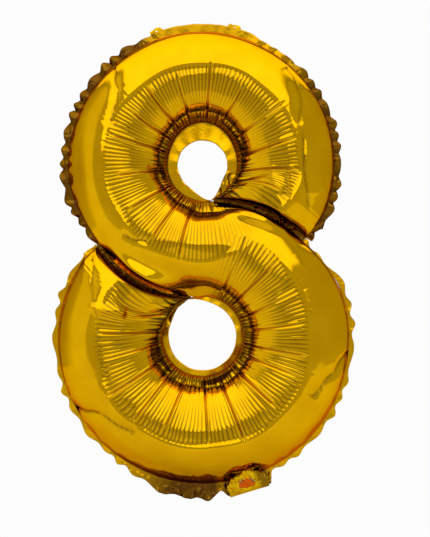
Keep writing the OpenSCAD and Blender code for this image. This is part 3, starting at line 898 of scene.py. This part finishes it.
def rimSurface(grid, lobeZ, isUpper):
    count = grid.shape[0]
    edge = grid[:, 0]
    lengths = np.concatenate([[0], np.cumsum(np.linalg.norm(np.diff(edge, axis=0), axis=1))])
    pitch = rim["pitch"] if isUpper else rim["lowerPitch"]
    waveBase, crinkleBase, seed = (0.5, 0.3, 2) if isUpper else (0.25, 0.1, 4)

    def surface(s, v):
        base = lookup(grid, s * (count - 1), np.zeros_like(s))
        away = np.stack([base[:, 0], np.zeros_like(s), base[:, 2] - lobeZ], 1)
        away /= np.linalg.norm(away, axis=1, keepdims=True)
        turn = np.degrees(np.arctan2(away[:, 2], away[:, 0]))
        turn = np.where(turn < -90, turn + 360, turn) if isUpper else np.where(turn > 90, turn - 360, turn)
        phase = np.interp(s * (count - 1), np.arange(count), lengths) / pitch
        phase = phase + 0.22 * np.sin(phase * 1.7) + 0.15 * np.sin(phase * 0.61 + 1)
        if isUpper:  # flat over the top, gathered hard down the left and less down the right
            flat = ease(*rim["topFrom"], turn) * (1 - ease(*rim["topTo"], turn))
            gathered = ease(*rim["leftGather"], turn) + rim["rightShare"] * (1 - ease(*rim["rightGather"], turn))
        else:
            flat = 0 * turn
            gathered = rim["lowerShare"] * (1 - ease(*rim["lowerGather"], turn))
        soft = 0.5 + 0.5 * np.sin(2 * np.pi * phase)
        scallop = soft + (np.abs(np.sin(np.pi * phase)) ** 1.2 - soft) * np.clip(2.5 * gathered, 0, 1)
        scallop = scallop * (0.7 + 0.3 * np.sin(phase * 2.3 + 1.1) * np.sin(phase * 0.9))
        scale = 0.80 + (0.22 + 0.30 * gathered) * scallop if isUpper else 0.46 + 0.82 * scallop
        width = rim["width"] * scale * (1 - flat) + rim["topWidth"] * (0.94 + 0.06 * scallop) * flat
        width += (rim["gatheredWidth"] - rim["width"]) * gathered * (0.3 + 0.9 * scallop) * (1 - flat)
        loose = np.zeros_like(s)
        if not isUpper:
            foot = (rim["footWidth"] - rim["width"]) * ease(*rim["footFrom"], turn) * (1 - ease(*rim["footTo"], turn))
            neckArc = np.radians(turn - rim["neckTurn"]) * rim["neckRadius"]
            neck = rim["neckLength"] * ease(*rim["neckFade"], -np.abs(neckArc) / (rim["neckWidth"] / 2))
            width = width + foot + neck
            loose = (foot + neck) / rim["footWidth"]
            outX, outZ = math.cos(math.radians(rim["neckTurn"])), math.sin(math.radians(rim["neckTurn"]))
            toward = away[:, 0] * outX + away[:, 2] * outZ
            filled = base[:, 0] * outX + (base[:, 2] - lobeZ) * outZ
            room = (rim["neckEnd"] - filled) / np.maximum(toward, 0.1)  # the neck ends where the tail folds
            width = np.where(np.abs(neckArc) < rim["neckReach"] * rim["neckWidth"], np.minimum(width, room), width)
        reach = v * (width + rim["overlap"]) - rim["overlap"]
        points = base + away * reach[:, None]
        fine = crumple(points, 0.012, seed, 0.8)
        level = 1 - 0.8 * flat
        wave = rim["wave"] * (waveBase + 1.6 * gathered) * level * np.sin(2 * np.pi * phase + 0.5) * v
        crinkle = (crinkleBase + 1.5 * gathered + 5 * loose) * level * mm * fine * ease(0, 0.5, v)
        points[:, 1] += wave + crinkle + rim["backward"] * gathered * v ** 1.5
        dip = (1 - scallop) ** 1.5
        patchy = 0.93 + 0.07 * crumple(points, 0.018, 9)  # painted shade is a little lighter on some scallops than others
        # painted shade: dark where the seal meets the film, over gathered scallops and their dips, over the flat top
        # and on the foot and neck
        fold = 0.5 * (1 - ease(0, 0.10, v)) + np.clip(1.25 * gathered, 0, 1) * (0.92 + 0.08 * dip) * patchy
        fold += 0.10 * dip * (1 - flat) + 0.30 * flat + 0.95 * np.clip(1.8 * loose, 0, 1) * patchy
        return points, np.clip(fold, 0, rim["darkest"])
    return surface


rimSize = (rim["columns"], rim["rows"])
upperRimGrid = rimGrid(0, seamSteps["upperRimEnd"], 0)
lowerRimGrid = rimGrid(seamSteps["lowerRimStart"], envelope["along"], envelope["across"])
rimPieces = []
for name, grid, lobeZ, isUpper in (("upperRimSeal", upperRimGrid, upperZ, True),
                                   ("lowerRimSeal", lowerRimGrid, lowerZ, False)):
    rimPieces.append(gridPiece(name, "perimeter_seam", rimSize, rimSurface(grid, lobeZ, isUpper), sealFoil, "envelope",
                               toFront, rim["thickness"]))
print("outer seal ready")


# flat margins inside the two holes, narrow where the tube bends sharply
margins = {
    "upper": {"centre": upperZ, "radius": 64 * mm, "width": 21 * mm, "corner": -45.0, "tip": -77.0, "tipSpan": 24.0},
    "lower": {"centre": lowerZ, "radius": 72 * mm, "width": 13 * mm, "corner": 135.0, "tip": 116.0, "tipSpan": 26.0},
    "thickness": 0.5 * mm, "lift": 3.5 * mm, "under": 1.5 * mm, "ripple": 0.5 * mm, "crumple": 3.0 * mm,
    "cornerSpan": (10, 42), "tipShare": 0.94, "columns": 360, "rows": 8,
}


def marginSurface(hole, seed):
    made = margins[hole]

    def surface(s, v):
        turn = s * 2 * np.pi
        fromCorner = np.abs((np.degrees(turn) - made["corner"] + 180) % 360 - 180)
        creased = 1 - ease(*margins["cornerSpan"], fromCorner)
        fromTip = (np.degrees(turn) - made["tip"] + 180) % 360 - 180
        narrow = margins["tipShare"] * np.exp(-np.abs(fromTip / made["tipSpan"]) ** 1.5)
        reach = made["width"] * v * (1 + 0.10 * creased) * (1 - narrow)
        radius = made["radius"] + margins["under"] - reach * (1 + 0.015 * np.sin(9 * turn + seed))
        points = np.stack([radius * np.cos(turn), np.zeros_like(s), made["centre"] + radius * np.sin(turn)], 1)
        points[:, 1] -= margins["lift"] * v ** 1.6 * (0.55 + 0.45 * np.sin(2 * turn + seed))
        points[:, 1] -= margins["ripple"] * np.sin(13 * turn) * v
        points[:, 1] += margins["crumple"] * creased * ease(0.05, 0.4, v) * crumple(points, 0.014, seed, 0.8)
        # painted shade near the hole's edge and over the crumpled corner
        fold = 0.85 * (1 - ease(0.10, 0.20, v)) + 0.4 * creased * ease(0.1, 0.5, v)
        if hole == "upper":
            points = points + (holeLift(points) - points) * (1 - ease(0.1, 0.7, v))[:, None]
        return points, np.clip(fold, 0, 0.9)
    return surface


def closeRing(bm):
    bmesh.ops.remove_doubles(bm, verts=bm.verts, dist=1e-6)


marginSize = (margins["columns"], margins["rows"])
marginPieces = {}
for hole, seed in (("upper", 1), ("lower", 3)):
    marginPieces[hole] = gridPiece(hole + "HoleMargin", hole + "_hole_seam", marginSize, marginSurface(hole, seed),
                                   sealFoil, "envelope", toFront, margins["thickness"], closeRing)
print("hole margins ready")


# the seals that divide each hook end from the tube beside it
divider = {"columns": 150, "rows": 5, "thickness": 0.5 * mm, "overlap": 1.2 * mm, "crinkle": 0.7 * mm, "fold": 0.9}


def dividerSurface(start, stop, edge, hookStep):  # from a hook's end across to the edge of the tube beside it
    def surface(s, v):
        hook = lookup(panels["front"], np.full_like(s, float(hookStep)), s * envelope["across"])
        tubeSide = lookup(panels["front"], start + (stop - start) * s, np.full_like(s, float(edge)))
        gap = tubeSide - hook
        gap /= np.maximum(np.linalg.norm(gap, axis=1, keepdims=True), 1e-9)
        points = hook + (tubeSide - hook) * v[:, None] + gap * (2 * v - 1)[:, None] * divider["overlap"]
        points[:, 1] += divider["crinkle"] * crumple(points, 0.008, 6)
        # painted shade over the whole divider
        return points, np.full_like(s, divider["fold"])
    return surface


dividerPieces = {}
for name, node, start, stop, edge, hookStep in (
        ("upperDivider", "upper_divider_seam", "lowerRimStart", "upperHoleEnd", envelope["across"], 0),
        ("lowerDivider", "lower_divider_seam", "lowerHoleStart", "upperRimEnd", 0, envelope["along"])):
    surface = dividerSurface(seamSteps[start], seamSteps[stop], edge, hookStep)
    dividerPieces[name] = gridPiece(name, node, (divider["columns"], divider["rows"]), surface, sealFoil, "envelope",
                                    toFront, divider["thickness"])
print("dividers ready")


# filling tail, folded forward against the tube
tail = {
    "foldRadius": 291.3 * mm, "turn": -73.0, "lean": 126.0, "width": 74 * mm, "length": 74 * mm, "ply": 0.5 * mm,
    "tip": 7 * mm, "window": 15 * mm, "windowAt": 37 * mm, "ink": 13.6 * mm, "mouth": 34 * mm, "start": 1 * mm,
    "crumple": 3.6 * mm, "buckle": 3.0 * mm, "bow": 3 * mm, "free": (0.002, 0.028), "gather": 0.14,
    "foldShade": 0.75, "shadeFrom": (0.012, 0.030), "thickness": 0.25 * mm, "film": 0.1 * mm, "inkFilm": 0.12 * mm,
    "sealWidth": 20 * mm, "sealLength": 73 * mm, "sealGap": 0.3 * mm,
}
tailTurn, tailLean = math.radians(tail["turn"]), math.radians(tail["lean"])
tailOut = np.array([math.cos(tailTurn), 0, math.sin(tailTurn)])
tailAlong = math.cos(tailLean) * tailOut - np.array([0, math.sin(tailLean), 0])
tailLayer = math.sin(tailLean) * tailOut + np.array([0, math.cos(tailLean), 0])
tailSide = np.array([-math.sin(tailTurn), 0, math.cos(tailTurn)])
tailFold = np.array([0, 0, lowerZ]) + tail["foldRadius"] * tailOut


def tongueHalf(x, width, length, tip):  # half width of a tongue with a round end
    into = np.clip(x - (length - width / 2), 0, width / 2)
    return np.maximum(np.sqrt(np.maximum((width / 2) ** 2 - into ** 2, 0)), tip)


def onTail(x, side, layer):  # all the tail's layers buckle together
    flat = np.stack([x, side, np.zeros_like(x)], 1)
    free = ease(*tail["free"], x)
    shape = tail["crumple"] * (crumple(flat, 0.019, 1, 0.9) + 0.45 * crumple(flat, 0.008, 2, 0.9))
    shape += tail["buckle"] * np.sin(side * 95 + 2.5 * np.sin(x * 60)) + tail["bow"] * np.sin(x * 70 + 0.6)
    pull = 1 - tail["gather"] * free * (0.5 + 0.5 * np.sin(x * 130 + 1))
    offset = shape * free + layer * tail["ply"]
    return tailFold + x[:, None] * tailAlong + (side * pull)[:, None] * tailSide + offset[:, None] * tailLayer


def tongue(width, length, layer, start):
    def surface(s, v):
        x = start + s * (length - start)
        side = (2 * v - 1) * tongueHalf(x, width, length, tail["tip"])
        # painted shade on one side of the tail's tongue
        return onTail(x, side, layer), tail["foldShade"] * ease(*tail["shadeFrom"], side)
    return surface


def sideSeal(sign):
    def surface(s, v):
        x = tail["start"] + s * (tail["length"] - tail["start"])
        outer = tongueHalf(x, tail["width"], tail["length"], tail["mouth"] / 2 + tail["start"])
        inner = tail["mouth"] / 2 + tail["sealGap"]
        # painted shade growing towards the seal's outer edge
        return onTail(x, sign * (inner + (outer - inner) * v), 0.0), 0.3 * v
    return surface


def inkSurface(s, v):
    turn, reach = s * 2 * np.pi, tail["ink"] * v
    ragged = reach * (1 + 0.18 * np.sin(3 * turn + 1) + 0.10 * np.sin(7 * turn))
    return onTail(tail["windowAt"] + ragged * np.cos(turn), ragged * np.sin(turn), 1.6), 0 * s


def cutHole(bm, spot, radius, reach):  # a round hole whose edge is drawn onto its circle
    inside = {vert for vert in bm.verts if (vert.co - spot).length < radius}
    faces = {face for vert in inside for face in vert.link_faces if inside.issuperset(face.verts)}
    bmesh.ops.delete(bm, geom=list(faces), context="FACES")
    for vert in (vert for vert in bm.verts if vert.is_boundary):
        away = vert.co - spot
        if 0 < away.length < radius * reach:
            vert.co = spot + away * (radius / away.length)


def windowCut(bm):
    spot = Vector(onTail(np.array([tail["windowAt"]]), np.array([0.0]), 1.5)[0])
    cutHole(bm, spot, tail["window"], 1.15)


ply, mouth = (tail["width"], tail["length"]), (tail["mouth"], tail["length"] - 3 * mm)
outward, inward = tuple(tailLayer), tuple(-tailLayer)
tailPieces = {}
for name, node, size, surface, material, facing, thickness, trim in (
        ("tailFrontPly", "tail_front_ply", (60, 48), tongue(*ply, -1.5, tail["start"]), crumpledFoil, inward,
         tail["thickness"], None),
        ("tailBackPly", "tail_back_ply", (80, 72), tongue(*ply, 1.5, 0.0), crumpledFoil, outward,
         tail["thickness"], windowCut),
        ("mouthFrontFilm", "mouth_front_film", (40, 20), tongue(*mouth, -0.5, tail["start"]), valveFilm, inward,
         tail["film"], None),
        ("mouthBackFilm", "mouth_back_film", (40, 20), tongue(*mouth, 0.5, tail["start"]), valveFilm, outward,
         tail["film"], None),
        ("tailLeftSeal", "tail_side_seals", (60, 10), sideSeal(-1), sealFoil, outward, tail["thickness"], None),
        ("tailRightSeal", "tail_side_seals", (60, 10), sideSeal(1), sealFoil, outward, tail["thickness"], None),
        ("inkPatch", "valve_ink_patch", (40, 8), inkSurface, valveInk, outward, tail["inkFilm"], closeRing)):
    tailPieces[name] = gridPiece(name, node, size, surface, material, "filling_tail", facing, thickness, trim)
print("filling tail ready")


# valve tube between the front and back foil
valve = {
    "width": 34 * mm, "from": 174 * mm, "to": 288 * mm, "gap": 0.25 * mm, "wave": 2.0 * mm, "thickness": 0.1 * mm,
    "flatFrom": (0.235, 0.262), "size": (60, 12),
}


def valveSurface(sign):
    def surface(s, v):
        radius = valve["from"] + s * (valve["to"] - valve["from"])
        side = (v - 0.5) * valve["width"]
        inside = 1 - ease(*valve["flatFrom"], radius)
        points = np.array([0, 0, lowerZ]) + radius[:, None] * tailOut + side[:, None] * tailSide
        points[:, 1] += sign * valve["gap"] + inside * valve["wave"] * np.sin(radius * 85 + side * 40)
        return points, 0 * s
    return surface


for name, sign, node in (("valveFrontFilm", -1, "valve_front_film"), ("valveBackFilm", 1, "valve_back_film")):
    tailPieces[name] = gridPiece(name, node, valve["size"], valveSurface(sign), valveFilm, "envelope", (0, sign, 0),
                                 valve["thickness"])
print("valve ready")


# hanging tabs
tab = {
    "width": 24 * mm, "length": 20 * mm, "hole": 2.5 * mm, "lean": 55.0, "foldRadius": 251.3 * mm, "tip": 3 * mm,
    "thickness": 0.5 * mm, "crumple": 0.9 * mm, "flatFrom": (0.003, 0.008), "free": (0, 0.004),
    "foldShade": 0.55, "foldReach": (0.002, 0.012), "shade": 0.25, "size": (60, 66), "left": 109.0, "right": 77.0,
}


def tabFrame(turn):
    angle, lean = math.radians(turn), math.radians(tab["lean"])
    out = np.array([math.cos(angle), 0, math.sin(angle)])
    along = math.cos(lean) * out + np.array([0, math.sin(lean), 0])
    layer = math.sin(lean) * out - np.array([0, math.cos(lean), 0])
    side = np.array([-math.sin(angle), 0, math.cos(angle)])
    return np.array([0, 0, upperZ]) + tab["foldRadius"] * out, along, side, layer


def makeTab(name, turn, body, node, seed):
    start, along, side, layer = tabFrame(turn)
    holeAt = tab["length"] - tab["width"] / 2

    def surface(s, v):
        x = s * tab["length"]
        across = (2 * v - 1) * tongueHalf(x, tab["width"], tab["length"], tab["tip"])
        flat = np.stack([x, across, np.zeros_like(x)], 1)
        free = ease(*tab["flatFrom"], np.hypot(x - holeAt, across)) * ease(*tab["free"], x)
        height = tab["crumple"] * free * (crumple(flat, 0.009, seed, 0.9) + np.sin(across * 260 + seed))
        points = start + x[:, None] * along + across[:, None] * side + height[:, None] * layer
        # painted shade near the tab's fold and a little all over
        return points, tab["foldShade"] * (1 - ease(*tab["foldReach"], x)) + tab["shade"]

    def punch(bm):
        cutHole(bm, Vector(start + holeAt * along), tab["hole"], 1.3)

    return gridPiece(name, node, tab["size"], surface, crumpledFoil, body, tuple(layer), tab["thickness"], punch)


leftTab = makeTab("leftTab", tab["left"], "left_tab", "left_hanging_tab", 3)
rightTab = makeTab("rightTab", tab["right"], "right_tab", "right_hanging_tab", 5)
print("tabs ready")


# what each sheet was cut to
def cutPlan():  # flat area of one film, and the lengths of its outer edges, before filling
    steps, rows = 1200, 40
    s, v = np.meshgrid(np.linspace(0, 1, steps + 1), np.linspace(0, 1, rows + 1), indexing="ij")
    plan = tubePlan(s.ravel(), v.ravel(), share=digit["cutShare"])
    points = np.stack([plan["x"], plan["z"]], 1).reshape(steps + 1, rows + 1, 2)
    one, two = points[1:, 1:] - points[:-1, :-1], points[1:, :-1] - points[:-1, 1:]
    area = np.abs(one[..., 0] * two[..., 1] - one[..., 1] * two[..., 0]).sum() / 2
    step = np.linalg.norm(np.diff(points, axis=0), axis=2)
    first, last = (round(seamSteps[name] * steps / envelope["along"]) for name in ("upperRimEnd", "lowerRimStart"))
    return area, step[:first, 0].sum(), step[last:, -1].sum(), np.ptp(points.reshape(-1, 2), axis=0)


cutArea, upperEdge, lowerEdge, cutSize = cutPlan()
print("film cut:", cutSize.round(4), "area", round(cutArea, 4), "outer edges", round(upperEdge, 3), round(lowerEdge, 3))


def tongueArea(width, length):
    return width * (length - width / 2) + math.pi * width ** 2 / 8


def marginCut(hole):  # length along the middle of the ring, and its width
    made = margins[hole]
    return 2 * math.pi * (made["radius"] - made["width"] / 2), made["width"]


upperRim, lowerRim = rimPieces
seals = [*rimPieces, *marginPieces.values(), *dividerPieces.values()]
bothFoils = [frontFoil, backFoil]
tailArea = tongueArea(*ply)
mouthCut, sealCut = (tail["mouth"], tail["length"] - 4 * mm), (tail["sealWidth"], tail["sealLength"])
valveCut, tabCut = (valve["width"], valve["to"] - valve["from"]), (tab["width"], tab["length"])
tabArea = tongueArea(*tabCut) - math.pi * tab["hole"] ** 2
cuts = [  # piece, flat width and length, how it is held, what it lies on, flat area where it isn't a rectangle
    (frontFoil, cutSize, "stretched", seals, cutArea),
    (backFoil, cutSize, "stretched", seals, cutArea),
    (upperRim, (upperEdge, rim["cutWidth"]), "gathered", bothFoils, None),
    (lowerRim, (lowerEdge, rim["cutWidth"]), "gathered", bothFoils, None),
    (marginPieces["upper"], marginCut("upper"), "stretched", bothFoils, None),
    (marginPieces["lower"], marginCut("lower"), "stretched", bothFoils, None),
    (tailPieces["tailFrontPly"], ply, "folded", [lowerRim], tailArea),
    (tailPieces["tailBackPly"], ply, "folded", [lowerRim], tailArea - math.pi * tail["window"] ** 2),
    (tailPieces["mouthFrontFilm"], mouthCut, "folded", [tailPieces["tailFrontPly"]], None),
    (tailPieces["mouthBackFilm"], mouthCut, "folded", [tailPieces["tailBackPly"]], None),
    (tailPieces["tailLeftSeal"], sealCut, "folded", [tailPieces["tailBackPly"]], None),
    (tailPieces["tailRightSeal"], sealCut, "folded", [tailPieces["tailBackPly"]], None),
    (tailPieces["inkPatch"], (2 * tail["ink"], 2 * tail["ink"]), "laid", [tailPieces["mouthBackFilm"]],
     math.pi * tail["ink"] ** 2),
    (tailPieces["valveFrontFilm"], valveCut, "hung", [lowerRim], None),
    (tailPieces["valveBackFilm"], valveCut, "hung", [lowerRim], None),
    (leftTab, tabCut, "folded", [upperRim], tabArea),
    (rightTab, tabCut, "folded", [upperRim], tabArea),
]
for piece, flat, held, under, area in cuts:
    shape = piece.evaluated_get(bpy.context.evaluated_depsgraph_get()).data
    layers = 2 if piece.modifiers else 1
    flatArea = float(flat[0] * flat[1]) if area is None else float(area)
    print(piece.name, "area share", round(sum(face.area for face in shape.polygons) / layers / flatArea, 2))
